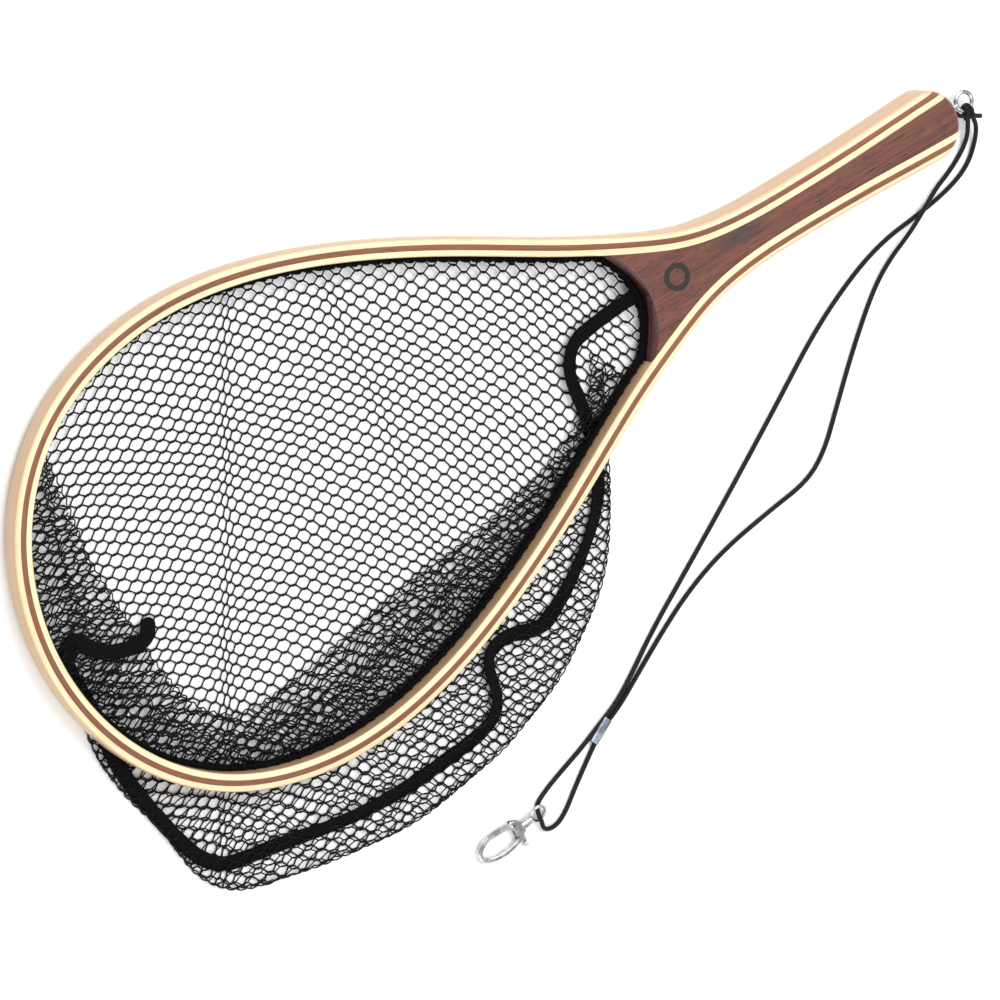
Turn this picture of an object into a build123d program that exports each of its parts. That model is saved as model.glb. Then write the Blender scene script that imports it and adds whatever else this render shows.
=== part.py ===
"""Wooden landing net: a laminated racket-shaped hoop, a taped mesh bag and an elastic lanyard with a snap hook.

Row frame: X runs along the net from the handle towards the far end of the hoop, Z is up, and the origin is
the middle of the handle's flat underside. The net lies on a surface at Z = 0 with its bag collapsed beneath
and beside the hoop, and its lanyard laid out beside it. All sizes are in millimetres.
"""

from build123d import *
from math import asin, degrees, pi, radians, tan
import os

# ---------------------------------------------------------------- frame: three bent laminations and a core
HANDLE_END_X = -101.0          # tip of the rounded handle end
HOOP_FAR_X = 501.0             # middle lamination at the far end of the hoop
# Half of the middle lamination's centre line, from the handle end to the widest part and the far end.
CENTRE_HALF = [
    (HANDLE_END_X, 15.3), (-78.0, 14.6), (-34.0, 12.8), (9.0, 12.0), (51.0, 13.3), (79.0, 18.2),
    (108.0, 29.4), (140.0, 44.7), (201.0, 78.0), (251.0, 102.6), (325.0, 127.0), (365.0, 131.1),
    (414.0, 123.4), (446.0, 108.1), (474.0, 81.6), (491.0, 51.7),
]
STATIONS = 90                  # stations along the centre line that an offset rail is laid through

MIDDLE_STRIP = 3.0             # thickness of each lamination, across the bend
INNER_STRIP = 3.4
OUTER_STRIP = 3.6
HOOP_DEPTH = 14.0              # depth of the hoop, along Z
HANDLE_DEPTH = 20.0            # depth of the handle, along Z
FRAME_ROUND = 3.0              # rounding of the frame's outer edges
SWELL_START_X = 70.0           # where the handle's depth starts to fall towards the hoop's
SWELL_END_X = 150.0

NECK_ARC_RADIUS = 45.0         # concave end of the core, facing the bag's mouth
NECK_ARC_X = 112.6             # its deepest point
CORE_LIMIT_X = 140.0           # the core's two tips end before this

GROOVE_Z = 5.4                 # groove round the inside of the frame that holds the hem's tongue
GROOVE_HEIGHT = 2.0
GROOVE_DEPTH = 1.5
TONGUE_CLEARANCE = 0.1

# ---------------------------------------------------------------- bag
HEM_GAP = 0.2                  # hem to wood
HEM_THICK = 3.0
HEM_BOTTOM_Z = 2.8
HEM_TOP_Z = 9.4
HEM_ROUND = 1.2

RIGHT_PANEL_THICK = 0.9        # the panel that lies on the surface
TAPE_THICK = 0.7
TAPE_WIDTH = 10.0
LEFT_PANEL_THICK = 0.7         # the panel that lies over the tape, under the hoop
LAYER_GAP = 0.15

# Outline of the collapsed bag outside the hoop, from the neck side round to the far end.
BAG_OUTLINE = [
    (150.0, 30.0), (167.0, 73.0), (191.7, 121.3), (242.0, 162.8), (278.0, 178.2), (315.6, 186.4),
    (364.0, 189.9), (400.6, 184.6), (436.2, 177.0), (465.9, 164.4), (477.0, 148.0), (484.0, 117.3),
    (494.0, 86.6), (497.0, 55.0), (488.0, 20.0),
]
# Inner edge of the left panel where it folds back inside the mouth.
FOLD_LINE = [
    (160.0, 22.0), (200.8, 47.3), (246.5, 58.6), (289.5, 64.9), (354.5, 76.7), (418.7, 84.0), (462.0, 38.0),
]
# The keel tape, from the neck under the hoop, along the bag's bottom seam and back to the far end.
TAPE_ROUTE = [
    (126.0, 0.0), (148.0, 2.0), (164.0, 9.0), (169.0, 30.0), (172.0, 62.0), (193.0, 101.5), (225.0, 126.5),
    (243.0, 134.0), (269.0, 129.0), (283.0, 147.0), (300.0, 165.5), (354.0, 171.5), (398.0, 166.5),
    (463.0, 151.0), (480.0, 112.0), (488.0, 76.0), (488.0, 30.0), (484.0, 6.0), (468.0, 16.0), (444.0, 21.0),
]

# ---------------------------------------------------------------- screw eye in the handle end
EYE_Z = HANDLE_DEPTH / 2
EYE_SHANK_RADIUS = 1.8
EYE_SHANK_LENGTH = 22.0
EYE_BORE_CLEARANCE = 0.05
EYE_FLANGE_RADIUS = 3.0
EYE_FLANGE_THICK = 1.2
EYE_NECK_RADIUS = 1.6
EYE_NECK_LENGTH = 3.8
EYE_RING_RADIUS = 5.2          # to the middle of the wire
EYE_WIRE_RADIUS = 1.25

# ---------------------------------------------------------------- cord's knot on the screw eye
KNOT_CLEARANCE = 0.25
KNOT_HALF = (3.3, 2.0, 2.6)    # half sizes of the knot's lump
KNOT_DROP = 0.6

# ---------------------------------------------------------------- lanyard cord
CORD_DIAMETER = 2.6
CORD_Z = CORD_DIAMETER / 2     # lying on the surface
FERRULE_Z = 1.8                # inside the crimped ferrule
# The cord's route: down from the knot, along the first strand, through the ferrule, round the loop in the
# swivel ring, back through the ferrule and along the second strand, over the first, up to the knot.
CORD_ROUTE = [
    (-113.0, 9.4, 9.2), (-114.6, 15.2, 7.4), (-113.4, 22.2, 4.3), (-109.4, 29.3, 2.0), (-103.4, 35.2, CORD_Z),
    (-94.0, 39.8, CORD_Z), (-80.0, 43.4, CORD_Z), (-62.0, 45.8, CORD_Z), (-38.0, 48.0, CORD_Z),
    (-13.0, 55.2, CORD_Z), (22.0, 71.4, CORD_Z), (62.0, 97.0, CORD_Z), (108.0, 125.4, CORD_Z),
    (150.6, 150.8, CORD_Z), (183.6, 170.2, CORD_Z), (207.0, 186.4, 1.5), (221.1, 194.9, FERRULE_Z),
    (236.3, 200.6, FERRULE_Z), (250.6, 206.4, 1.5), (264.6, 210.9, CORD_Z), (275.6, 214.6, CORD_Z),
    (284.6, 218.4, CORD_Z), (287.7, 221.0, 1.4), (289.2, 224.9, 2.8), (289.8, 229.0, 4.2), (290.0, 233.4, 2.6),
    (286.4, 236.4, CORD_Z), (280.4, 236.2, CORD_Z), (273.0, 232.2, CORD_Z), (263.6, 224.4, CORD_Z),
    (251.4, 215.0, 1.5), (235.3, 203.2, FERRULE_Z), (220.1, 197.5, FERRULE_Z), (203.0, 187.8, 1.5),
    (178.8, 174.2, CORD_Z), (154.8, 162.2, CORD_Z), (126.5, 152.8, CORD_Z), (90.6, 147.6, CORD_Z),
    (63.0, 144.6, CORD_Z), (46.2, 134.6, CORD_Z), (29.8, 117.4, CORD_Z), (6.6, 93.4, CORD_Z),
    (-19.5, 69.4, CORD_Z), (-36.0, 58.6, 2.6), (-50.6, 50.8, 6.4), (-64.4, 43.4, 6.4), (-77.6, 38.0, 2.6),
    (-88.0, 34.8, CORD_Z), (-96.2, 31.0, CORD_Z), (-104.6, 25.2, 2.6), (-109.2, 17.6, 5.6), (-110.2, 9.6, 9.0),
]
RUN_SHARE = 0.45               # share of the shorter run that a corner's arc takes

# ---------------------------------------------------------------- crimped ferrule
FERRULE_LENGTH = 15.2
FERRULE_WIDTH = 6.2
FERRULE_HEIGHT = 2 * FERRULE_Z
FERRULE_CORD_CLEARANCE = 0.05

# ---------------------------------------------------------------- swivel ring and snap hook
# Hook frame: origin at the ring's centre, X along the hook away from the cord, Z normal to the oval.
HOOK_PLACE = (289.0, 224.4, 2.6)
HOOK_TURN = 4.5
RING_RADIUS = 4.5              # to the middle of the wire
RING_WIRE_RADIUS = 0.8
STEM_RADIUS = 0.9
STEM_BORE_CLEARANCE = 0.06
STEM_HEAD_RADIUS = 1.6
STEM_HEAD_THICK = 0.9
HEAD_CLEARANCE = 0.35
COLLAR_START = 6.2
COLLAR_RADIUS = 2.6
COLLAR_LENGTH = 3.6
OVAL_CENTRE = 26.4
OVAL_HALF_LENGTH = 16.0
OVAL_HALF_WIDTH = 8.2
OVAL_WIRE = 2.9
HOOK_THICK = 4.0
HOOK_ROUND = 0.9
EAR_BLOCK_START = 11.6         # solid root of the oval that carries the gate's pin
EAR_BLOCK_END = 17.4
EAR_BLOCK_HALF = 3.0
PIVOT_U = 14.4
PIN_RADIUS = 0.8
PIN_CLEARANCE = 0.05
GATE_THICK = 1.7
GATE_SIDE_CLEARANCE = 0.15
GATE_HUB_RADIUS = 2.1
GATE_WIDTH = 2.8
GATE_REACH = 18.9              # pivot to the gate's tip
GATE_TIP_CLEARANCE = 0.35
SPRING_RADIUS = 1.5
SPRING_LENGTH = 0.5
LUG_OUT = 9.6                  # thumb lug's end, from the hook's middle line
LUG_PAD_THICK = 3.4
SLOT_START = 10.9              # front wall of the slot that the gate turns in

OUT = "parts"


def rail(offset):
    """Curve beside the centre line, offset outwards by a signed distance."""
    points = []
    for i in range(STATIONS + 1):
        place = CENTRE @ (i / STATIONS)
        along = CENTRE % (i / STATIONS)
        points.append((place.X - offset * along.Y, place.Y + offset * along.X))
    return Spline(*points)


def inside(offset):
    """Face enclosed by a rail and a straight line across the handle end."""
    curve = rail(offset)
    return make_face(Wire([curve, Line(curve @ 1, curve @ 0)]))


def mouth(offset):
    """Bag's mouth: the frame's inner outline, enlarged by an offset."""
    bounded = inside(-INNER_EDGE + offset)
    far_part = Pos(CORE_LIMIT_X + BIG / 2, 0) * Rectangle(BIG, BIG)
    near_part = Pos(NECK_ARC_X + NECK_ARC_RADIUS, 0) * Circle(NECK_ARC_RADIUS + offset)
    return bounded & (far_part + near_part)


def slab(face, low, high):
    """Prism of a plan face between two heights."""
    return extrude(Pos(0, 0, low) * face, high - low)


def save(node, shape):
    """Write one node's STEP file."""
    shape.label = node
    export_step(shape, os.path.join(OUT, f"{node}.step"))


def ribbon(points, width):
    """Plan face of a tape of constant width along a smooth route."""
    middle = Spline(*points)
    left, right = [], []
    for i in range(STATIONS + 1):
        place = middle @ (i / STATIONS)
        along = middle % (i / STATIONS)
        step = (-along.Y * width / 2, along.X * width / 2)
        left.append((place.X + step[0], place.Y + step[1]))
        right.append((place.X - step[0], place.Y - step[1]))
    sides = [Spline(*left), Spline(*right)]
    ends = [Line(sides[0] @ 0, sides[1] @ 0), Line(sides[0] @ 1, sides[1] @ 1)]
    return make_face(Wire([*sides, *ends]))


def corner_radii(points):
    """Largest arc that each corner's two runs allow."""
    radii = []
    for before, at, after in zip(points, points[1:], points[2:]):
        back = Vector(*at) - Vector(*before)
        ahead = Vector(*after) - Vector(*at)
        turn = radians(back.get_angle(ahead))
        radii.append(RUN_SHARE * min(back.length, ahead.length) / tan(turn / 2))
    return radii


def tube(points, diameter):
    """Round cord along straight runs joined by tangent arcs."""
    radii = corner_radii(points)
    print("cord corner radii:", " ".join(f"{r:.1f}" for r in radii))
    path = FilletPolyline(*points, radius=radii)
    section = Plane(origin=path @ 0, z_dir=path % 0) * Circle(diameter / 2)
    body = sweep(section, path=path)
    share = body.volume / (pi * diameter**2 / 4 * path.length)
    print(f"cord length {path.length:.1f}, volume share {share:.4f}")
    return body


def rod(start, end, radius):
    """Round bar between two points, with round ends."""
    axis = Vector(*end) - Vector(*start)
    bar = Plane(origin=start, z_dir=axis) * Cylinder(radius, axis.length, align=STAND)
    return bar + Pos(*start) * Sphere(radius) + Pos(*end) * Sphere(radius)


STAND = (Align.CENTER, Align.CENTER, Align.MIN)
ALONG_X = Rotation(0, 90, 0)   # turns a Z axis to X
BIG = 1200.0

INNER_EDGE = MIDDLE_STRIP / 2 + INNER_STRIP
OUTER_EDGE = MIDDLE_STRIP / 2 + OUTER_STRIP
HOOP_LOW = (HANDLE_DEPTH - HOOP_DEPTH) / 2
HOOP_HIGH = HOOP_LOW + HOOP_DEPTH

CENTRE = Spline(*CENTRE_HALF, (HOOP_FAR_X, 0.0), *[(x, -y) for x, y in reversed(CENTRE_HALF)])


# ================================================================ frame
def envelope():
    """Outer form of the whole frame, with no mouth: a hoop that swells into a deeper handle, edges rounded."""
    end_radius = CENTRE_HALF[0][1] + OUTER_EDGE
    end_centre = HANDLE_END_X + end_radius
    rounded_end = Pos(end_centre + BIG / 2, 0) * Rectangle(BIG, BIG) + Pos(end_centre, 0) * Circle(end_radius)
    plan = inside(OUTER_EDGE) & rounded_end
    ahead = Spline((SWELL_START_X, HANDLE_DEPTH), (SWELL_END_X, HOOP_HIGH), tangents=[(1, 0), (1, 0)])
    back = Spline((SWELL_END_X, HOOP_LOW), (SWELL_START_X, 0), tangents=[(-1, 0), (-1, 0)])
    hoop_end = Polyline(ahead @ 1, (BIG, HOOP_HIGH), (BIG, HOOP_LOW), back @ 0)
    handle_end = Polyline(back @ 1, (-BIG, 0), (-BIG, HANDLE_DEPTH), ahead @ 0)
    profile = Wire([ahead, *hoop_end.edges(), back, *handle_end.edges()])
    form = slab(plan, -1.0, HANDLE_DEPTH + 1.0) & extrude(Plane.XZ * make_face(profile), BIG / 2, both=True)
    walls = form.faces().filter_by(lambda face: abs(face.normal_at().Z) < 0.1)
    rims = walls.edges().filter_by(lambda edge: abs((edge @ 0.5).Z - HANDLE_DEPTH / 2) > HOOP_DEPTH / 2 - 0.1)
    return fillet(rims, FRAME_ROUND)


def frame_parts():
    """Three laminations that run round the hoop and down both sides of the core, and the core itself."""
    form = envelope()
    groove = slab(mouth(GROOVE_DEPTH) - mouth(0), GROOVE_Z, GROOVE_Z + GROOVE_HEIGHT)
    bands = {
        "inner_lamination": (-INNER_EDGE, -MIDDLE_STRIP / 2),
        "middle_lamination": (-MIDDLE_STRIP / 2, MIDDLE_STRIP / 2),
        "outer_lamination": (MIDDLE_STRIP / 2, OUTER_EDGE + OUTER_STRIP),
    }
    parts = {}
    for node, (near, far) in bands.items():
        band = slab(inside(far) - inside(near), -2.0, HANDLE_DEPTH + 2.0)
        parts[node] = band & form
    parts["inner_lamination"] -= groove
    near_part = Pos(CORE_LIMIT_X - BIG / 2, 0) * Rectangle(BIG, BIG)
    plan = (inside(-INNER_EDGE) & near_part) - mouth(0)
    core = (slab(plan, -2.0, HANDLE_DEPTH + 2.0) & form) - groove
    bore = Pos(HANDLE_END_X, 0, EYE_Z) * ALONG_X * Cylinder(
        EYE_SHANK_RADIUS + EYE_BORE_CLEARANCE, EYE_SHANK_LENGTH + 1.0, align=STAND
    )
    parts["handle_core"] = core - bore
    return parts


# ================================================================ bag
def bag_parts():
    """Hem in the frame's groove, two mesh panels laid flat, and the tape that joins them along the keel."""
    hem = slab(mouth(-HEM_GAP) - mouth(-HEM_GAP - HEM_THICK), HEM_BOTTOM_Z, HEM_TOP_Z)
    tongue = slab(
        mouth(GROOVE_DEPTH - TONGUE_CLEARANCE) - mouth(-HEM_GAP - HEM_THICK / 2),
        GROOVE_Z + TONGUE_CLEARANCE,
        GROOVE_Z + GROOVE_HEIGHT - TONGUE_CLEARANCE,
    )
    floor_area = mouth(-HEM_GAP - HEM_THICK / 2)
    outline = Spline(*BAG_OUTLINE)
    outside = make_face(Wire([outline, Line(outline @ 1, outline @ 0)]))
    fold = Spline(*FOLD_LINE)
    folded = make_face(
        Wire([outline, Line(outline @ 1, fold @ 1), fold, Line(fold @ 0, outline @ 0)])
    )
    tape_low = RIGHT_PANEL_THICK + LAYER_GAP
    left_low = tape_low + TAPE_THICK + LAYER_GAP
    tape = slab(ribbon(TAPE_ROUTE, TAPE_WIDTH), tape_low, tape_low + TAPE_THICK)
    return {
        "hem_binding": hem + tongue,
        "right_mesh_panel": slab(floor_area + outside, 0, RIGHT_PANEL_THICK),
        "keel_tape": tape,
        "left_mesh_panel": slab(folded, left_low, left_low + LEFT_PANEL_THICK),
    }


# ================================================================ eye, knot and lanyard
def eye_parts():
    """Screw eye in the handle end and the cord's knot on its ring."""
    flange_x = HANDLE_END_X - EYE_BORE_CLEARANCE
    neck_x = flange_x - EYE_FLANGE_THICK
    ring_x = neck_x - EYE_NECK_LENGTH - EYE_RING_RADIUS
    towards_end = Rotation(0, -90, 0)
    shank = Pos(flange_x, 0, EYE_Z) * ALONG_X * Cylinder(EYE_SHANK_RADIUS, EYE_SHANK_LENGTH, align=STAND)
    flange = Pos(flange_x, 0, EYE_Z) * towards_end * Cylinder(EYE_FLANGE_RADIUS, EYE_FLANGE_THICK, align=STAND)
    neck = Pos(neck_x, 0, EYE_Z) * towards_end * Cylinder(EYE_NECK_RADIUS, EYE_NECK_LENGTH, align=STAND)
    ring = Pos(ring_x, 0, EYE_Z) * Torus(EYE_RING_RADIUS, EYE_WIRE_RADIUS)
    eye = shank + flange + neck + ring

    cord = CORD_DIAMETER / 2
    wrap_radius = EYE_WIRE_RADIUS + KNOT_CLEARANCE + cord
    lump_y = EYE_RING_RADIUS + EYE_WIRE_RADIUS + KNOT_CLEARANCE + KNOT_HALF[1]
    knot = Pos(ring_x, lump_y, EYE_Z - KNOT_DROP) * scale(Sphere(1), by=KNOT_HALF)
    spread = degrees(asin(cord / EYE_RING_RADIUS))
    for turn in (90 - spread, 90 + spread):
        across = Rotation(90, 0, 0)
        knot += Pos(ring_x, 0, EYE_Z) * Rotation(0, 0, turn) * Pos(EYE_RING_RADIUS, 0, 0) * across * Torus(
            wrap_radius, cord
        )
    knot += rod((ring_x - KNOT_HALF[0] / 2, lump_y, EYE_Z - KNOT_DROP), (ring_x - 6.6, lump_y + 3.4, 8.8), cord)
    collar_x = neck_x - cord - KNOT_CLEARANCE / 2
    collar_radius = EYE_NECK_RADIUS + KNOT_CLEARANCE / 2 + cord
    knot += Pos(collar_x, 0, EYE_Z) * ALONG_X * Torus(collar_radius, cord)
    knot += rod((collar_x, collar_radius, EYE_Z), (ring_x + KNOT_HALF[0] / 2, lump_y, EYE_Z - KNOT_DROP), cord)
    return {"screw_eye": eye, "lanyard_knot": knot}


def ferrule():
    """Crimped tube that holds the two strands side by side."""
    entry = [(a + b) / 2 for a, b in zip(CORD_ROUTE[16], CORD_ROUTE[31])]
    leave = [(a + b) / 2 for a, b in zip(CORD_ROUTE[17], CORD_ROUTE[30])]
    axis = Vector(*leave) - Vector(*entry)
    middle = (Vector(*leave) + Vector(*entry)) * 0.5
    place = Plane(origin=middle, x_dir=(-axis.Y, axis.X, 0), z_dir=axis)
    spacing = (Vector(*CORD_ROUTE[16]) - Vector(*CORD_ROUTE[31])).length
    outer = SlotOverall(FERRULE_WIDTH, FERRULE_HEIGHT)
    bore = CORD_DIAMETER + 2 * FERRULE_CORD_CLEARANCE
    inner = SlotOverall(spacing + bore, bore)
    return extrude(place * (outer - inner), FERRULE_LENGTH / 2, both=True)


# ================================================================ snap hook
def hook_parts():
    """Swivel ring, snap hook body with its gate, the gate's pin and its spring, in the hook frame."""
    stem_start = RING_RADIUS
    head_start = COLLAR_START + COLLAR_LENGTH - HEAD_CLEARANCE - STEM_HEAD_THICK
    ring = Rotation(RING_TILT, 0, 0) * Torus(RING_RADIUS, RING_WIRE_RADIUS)
    stem = Pos(stem_start, 0, 0) * ALONG_X * Cylinder(STEM_RADIUS, head_start - stem_start + 0.2, align=STAND)
    head = Pos(head_start, 0, 0) * ALONG_X * Cylinder(STEM_HEAD_RADIUS, STEM_HEAD_THICK, align=STAND)
    swivel = ring + stem + head

    oval = Ellipse(OVAL_HALF_LENGTH, OVAL_HALF_WIDTH)
    hole = Ellipse(OVAL_HALF_LENGTH - OVAL_WIRE, OVAL_HALF_WIDTH - OVAL_WIRE)
    frame = extrude(Pos(OVAL_CENTRE, 0) * (oval - hole), HOOK_THICK / 2, both=True)
    frame = fillet(frame.faces().filter_by(Axis.Z).edges(), HOOK_ROUND)
    gap = Pos(PIVOT_U, 0) * Circle(GATE_REACH + GATE_TIP_CLEARANCE)
    side = Pos(PIVOT_U + BIG / 2 + EAR_BLOCK_HALF, -BIG / 2 - OVAL_HALF_WIDTH / 4) * Rectangle(BIG, BIG)
    frame -= extrude(gap & side, HOOK_THICK, both=True)
    root_x = (EAR_BLOCK_START + EAR_BLOCK_END) / 2
    frame += Pos(root_x, 0, 0) * Box(EAR_BLOCK_END - EAR_BLOCK_START, 2 * EAR_BLOCK_HALF, HOOK_THICK)
    collar = Pos(COLLAR_START, 0, 0) * ALONG_X * Cylinder(COLLAR_RADIUS, COLLAR_LENGTH + 2.0, align=STAND)
    bore_radius = STEM_RADIUS + STEM_BORE_CLEARANCE
    bore = Pos(COLLAR_START, 0, 0) * ALONG_X * Cylinder(bore_radius, COLLAR_LENGTH, align=STAND)
    pocket_start = head_start - HEAD_CLEARANCE
    pocket = Pos(pocket_start, 0, 0) * ALONG_X * Cylinder(
        STEM_HEAD_RADIUS + HEAD_CLEARANCE, STEM_HEAD_THICK + 2 * HEAD_CLEARANCE, align=STAND
    )
    slot_height = GATE_THICK + 2 * GATE_SIDE_CLEARANCE
    slot_end = EAR_BLOCK_END + 1.0
    slot_x = (SLOT_START + slot_end) / 2
    slot = Pos(slot_x, 0, 0) * Box(slot_end - SLOT_START, 2.4 * OVAL_HALF_WIDTH, slot_height)
    pin_hole = Pos(PIVOT_U, 0, 0) * Cylinder(PIN_RADIUS, HOOK_THICK)
    body = frame + collar - bore - pocket - slot - pin_hole

    spring_bore = SPRING_RADIUS + PIN_CLEARANCE
    hub = Pos(PIVOT_U, 0) * Circle(GATE_HUB_RADIUS)
    tip = (PIVOT_U + GATE_REACH + 1.0, -OVAL_HALF_WIDTH + OVAL_WIRE / 2 + 0.4)
    bend = (PIVOT_U + 4.6, -OVAL_HALF_WIDTH + OVAL_WIRE)
    arm = Polygon(
        (PIVOT_U, GATE_HUB_RADIUS - 0.3), (bend[0] + 1.4, bend[1] + GATE_WIDTH * 0.6),
        (tip[0], tip[1] + GATE_WIDTH / 2), (tip[0], tip[1] - GATE_WIDTH / 2),
        (bend[0] - 0.4, bend[1] - GATE_WIDTH * 0.5), (PIVOT_U - 1.2, -GATE_HUB_RADIUS + 0.6), align=None,
    )
    lug = Polygon(
        (PIVOT_U - 1.6, 0), (PIVOT_U + 1.6, 0), (PIVOT_U + 1.2, LUG_OUT), (PIVOT_U - 0.8, LUG_OUT), align=None
    )
    reach = Pos(PIVOT_U, 0) * Circle(GATE_REACH)
    gate = extrude((hub + arm + lug) & reach, GATE_THICK / 2, both=True)
    pad = Pos(PIVOT_U + 0.2, LUG_OUT, 0) * Box(2.4, 1.6, LUG_PAD_THICK)
    gate += fillet(pad.edges().filter_by(Axis.X), 0.6)
    gate -= Pos(PIVOT_U, 0, 0) * Cylinder(PIN_RADIUS + PIN_CLEARANCE, HOOK_THICK)
    recess = Pos(PIVOT_U, 0, GATE_THICK / 2 - SPRING_LENGTH) * Cylinder(spring_bore, HOOK_THICK, align=STAND)
    gate -= recess
    pin = Pos(PIVOT_U, 0, 0) * Cylinder(PIN_RADIUS, HOOK_THICK - 0.1)
    spring_low = GATE_THICK / 2 - SPRING_LENGTH + PIN_CLEARANCE
    spring = Pos(PIVOT_U, 0, spring_low) * (
        Cylinder(SPRING_RADIUS, SPRING_LENGTH, align=STAND)
        - Cylinder(PIN_RADIUS + PIN_CLEARANCE, SPRING_LENGTH, align=STAND)
    )
    place = Pos(*HOOK_PLACE) * Rotation(0, 0, HOOK_TURN)
    shapes = {
        "swivel_ring": swivel, "hook_body": body, "hook_gate": gate, "gate_pin": pin, "gate_spring": spring,
    }
    return {node: place * shape for node, shape in shapes.items()}


# The ring leans until its lower side rests on the surface.
RING_TILT = -degrees(asin((HOOK_PLACE[2] - RING_WIRE_RADIUS) / RING_RADIUS))


def main():
    """Build every node and write it."""
    os.makedirs(OUT, exist_ok=True)
    nodes = {
        **frame_parts(),
        **bag_parts(),
        **eye_parts(),
        "lanyard_cord": tube(CORD_ROUTE, CORD_DIAMETER),
        "crimp_ferrule": ferrule(),
        **hook_parts(),
    }
    for node, shape in nodes.items():
        save(node, shape)


main()
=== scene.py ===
"""Looks of the wooden landing net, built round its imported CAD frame.

Row frame: X runs from the handle to the far end of the hoop, Z is up and the origin is the middle of the
handle's underside. Shapes are worked out in millimetres and stored in metres.
"""

import logging
import math
from dataclasses import dataclass, field
from enum import Enum

import bpy
import numpy as np
from mathutils import Matrix, Vector


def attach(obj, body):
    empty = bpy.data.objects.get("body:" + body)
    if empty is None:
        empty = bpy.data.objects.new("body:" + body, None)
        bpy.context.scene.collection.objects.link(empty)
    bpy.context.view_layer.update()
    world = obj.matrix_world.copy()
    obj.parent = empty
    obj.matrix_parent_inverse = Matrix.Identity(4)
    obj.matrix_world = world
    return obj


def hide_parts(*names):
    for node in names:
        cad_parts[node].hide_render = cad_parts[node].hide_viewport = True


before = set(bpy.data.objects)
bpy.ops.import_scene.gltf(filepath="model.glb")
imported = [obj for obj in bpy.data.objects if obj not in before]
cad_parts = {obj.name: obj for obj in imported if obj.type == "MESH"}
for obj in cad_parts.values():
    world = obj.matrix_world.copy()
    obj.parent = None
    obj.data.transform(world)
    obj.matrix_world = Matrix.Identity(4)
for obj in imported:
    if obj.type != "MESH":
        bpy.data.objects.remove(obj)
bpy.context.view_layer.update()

MM = 0.001
ROOT = "root"
Array = np.ndarray
Points = tuple[tuple[float, ...], ...]
log = logging.getLogger("landing_net")


# ---------------------------------------------------------------- curves and grids
def smooth_line(points: Points | Array, count: int) -> Array:
    """Cubic curve through points, with second derivatives solved so that slope and bend join smoothly.

    Args:
        points: Points that the curve passes through, any number of columns.
        count: Number of places returned, evenly spaced along the chords.

    Returns:
        Array of count rows.
    """
    pts = np.asarray(points, float)
    step = np.linalg.norm(np.diff(pts, axis=0), axis=1)
    knot = np.concatenate([[0.0], np.cumsum(step)])
    size = len(pts)
    system = np.zeros((size, size))
    system[0, 0] = system[-1, -1] = 1.0
    row = np.arange(1, size - 1)
    system[row, row - 1] = step[:-1]
    system[row, row] = 2 * (step[:-1] + step[1:])
    system[row, row + 1] = step[1:]
    right = np.zeros_like(pts)
    right[1:-1] = 6 * np.diff(np.diff(pts, axis=0) / step[:, None], axis=0)
    bend = np.linalg.solve(system, right)
    at = np.linspace(0.0, knot[-1], count)
    run = np.clip(np.searchsorted(knot, at, side="right") - 1, 0, size - 2)
    ahead, past, width = (knot[run + 1] - at)[:, None], (at - knot[run])[:, None], step[run][:, None]
    curve = (bend[run] * ahead**3 + bend[run + 1] * past**3) / (6 * width)
    curve += (pts[run] / width - bend[run] * width / 6) * ahead
    return curve + (pts[run + 1] / width - bend[run + 1] * width / 6) * past


def length_along(line: Array) -> Array:
    """Running length at each point of a line."""
    return np.concatenate([[0.0], np.cumsum(np.linalg.norm(np.diff(line, axis=0), axis=1))])


def unit_rows(rows: Array) -> Array:
    """Rows divided by their own lengths."""
    return rows / np.linalg.norm(rows, axis=1)[:, None]


def even_line(line: Array, spacing: float) -> Array:
    """A line laid again at an even spacing."""
    along = length_along(line)
    at = np.linspace(0.0, along[-1], max(3, int(along[-1] / spacing)))
    return np.stack([np.interp(at, along, column) for column in line.T], axis=1)


def smooth_step(value: Array | float) -> Array:
    """Soft ramp 3t^2 - 2t^3 with t held between 0 and 1."""
    held = np.clip(value, 0.0, 1.0)
    return held * held * (3 - 2 * held)


def inside_outline(points: Array, outline: Array) -> Array:
    """Even-odd test of which points lie in a closed outline.

    Args:
        points: Plan points, N by 2.
        outline: Closed outline, K by 2, without its first point repeated.

    Returns:
        Boolean array of N.
    """
    after = np.roll(outline, -1, axis=0)
    x, y = points[:, :1], points[:, 1:2]
    crosses = (outline[:, 1] > y) != (after[:, 1] > y)
    rise = np.where(np.abs(after[:, 1] - outline[:, 1]) < 1e-9, 1e-9, after[:, 1] - outline[:, 1])
    hit = outline[:, 0] + (y - outline[:, 1]) * (after[:, 0] - outline[:, 0]) / rise
    return (np.sum(crosses & (x < hit), axis=1) % 2) == 1


def distance_to(points: Array, line: Array) -> Array:
    """Plan distance from each point to the nearest point of a closely spaced line."""
    gaps = points[:, None, :2] - line[None, :, :2]
    return np.sqrt(np.min(np.sum(gaps * gaps, axis=2), axis=1))


def ripple(x: Array, y: Array, wave: float, turn: float, seed: float) -> Array:
    """Smooth unevenness: the sum of four sine waves of falling height in turned directions.

    Args:
        x: Places along X.
        y: Places along Y.
        wave: Longest wavelength.
        turn: Direction of the first wave, in radians.
        seed: Phase that sets one ripple apart from another.

    Returns:
        Heights between about -1 and 1.
    """
    total = np.zeros_like(np.asarray(x, float))
    for order in range(4):
        angle = turn + 1.1 * order
        rate = 2 * math.pi * (1 + 0.63 * order) / wave
        total += np.sin((x * math.cos(angle) + y * math.sin(angle)) * rate + seed * (order + 1)) / (1 + order)
    return total / 2.0


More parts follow.
